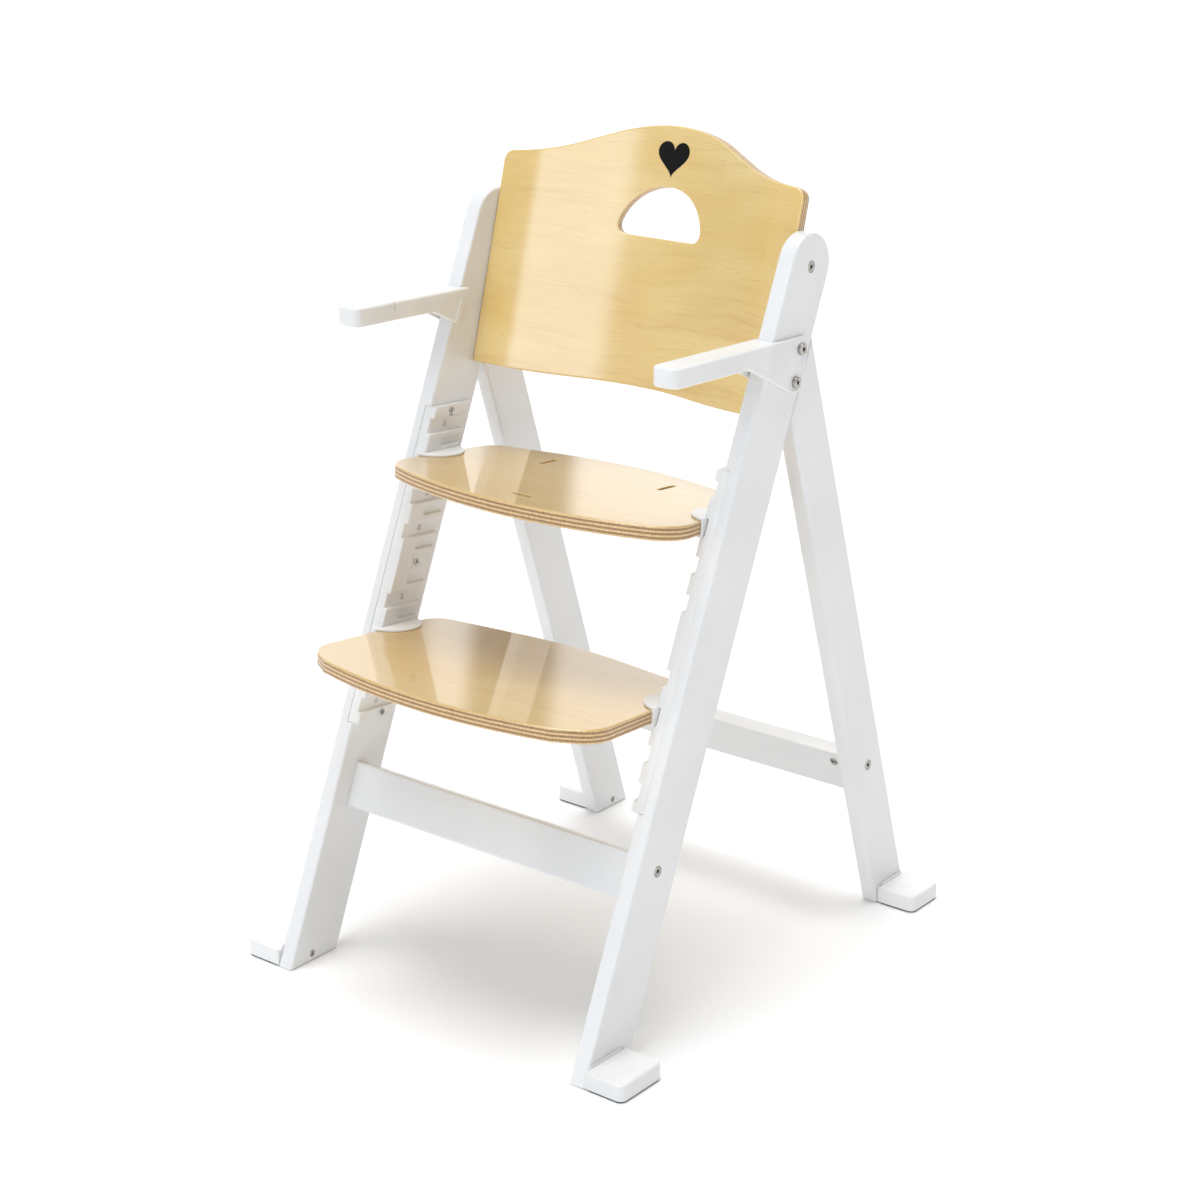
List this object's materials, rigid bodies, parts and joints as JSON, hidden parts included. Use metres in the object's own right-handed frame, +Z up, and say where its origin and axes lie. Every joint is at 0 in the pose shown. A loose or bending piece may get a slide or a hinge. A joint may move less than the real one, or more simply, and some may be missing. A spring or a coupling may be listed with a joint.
{
  "type": "baby high chair",
  "caption": "Wooden high chair with A-shaped sides, curved plywood backrest with a hand hole, armrests, and a seat and footrest that slide into slotted side rails.",
  "frame": {"origin": "on the floor, in the middle of the chair's width and of the legs' depth", "axes": "+Z up, +X to the sitter's left, and the sitter faces -Y"},
  "size_m": [0.522, 0.6, 0.8762],
  "materials": {
    "white_paint": "satin white paint over wood",
    "plywood": "clear gloss lacquer over plywood",
    "white_plastic": "matte moulded plastic",
    "steel": "zinc-plated steel",
    "rubber": "matte rubber pads",
    "dowel_wood": "bare beech"
  },
  "bodies": {
    "frame": {"left_front_leg": "white_paint", "right_front_leg": "white_paint", "left_rear_leg": "white_paint", "right_rear_leg": "white_paint", "front_crossbar": "white_paint", "rear_crossbar": "white_paint", "left_rail": "white_plastic", "right_rail": "white_plastic", "backrest": "plywood", "left_armrest": "white_plastic", "right_armrest": "white_plastic", "left_front_foot": "white_plastic", "right_front_foot": "white_plastic", "left_rear_foot": "white_plastic", "right_rear_foot": "white_plastic", "foot_pads": "rubber", "leg_dowels": "dowel_wood", "crossbar_dowels": "dowel_wood", "crossbar_bolts": "steel", "crossbar_barrel_nuts": "steel", "backrest_bolts": "steel", "armrest_bolts": "steel", "backrest_barrel_nuts": "steel", "rail_screws": "steel", "foot_screws": "steel"},
    "seat": {"seat_plate": "plywood", "seat_left_clip": "white_plastic", "seat_right_clip": "white_plastic", "seat_clip_screws": "steel"},
    "footrest": {"footrest_plate": "plywood", "footrest_left_clip": "white_plastic", "footrest_right_clip": "white_plastic", "footrest_clip_screws": "steel"}
  },
  "joints": [
    {"name": "seat_slide", "type": "slide", "parent": "frame", "child": "seat", "axis": [0, -0.9971, 0.0767], "range_m": [0, 0.055]},
    {"name": "footrest_slide", "type": "slide", "parent": "frame", "child": "footrest", "axis": [0, -0.9971, 0.0767], "range_m": [0, 0.055]}
  ]
}
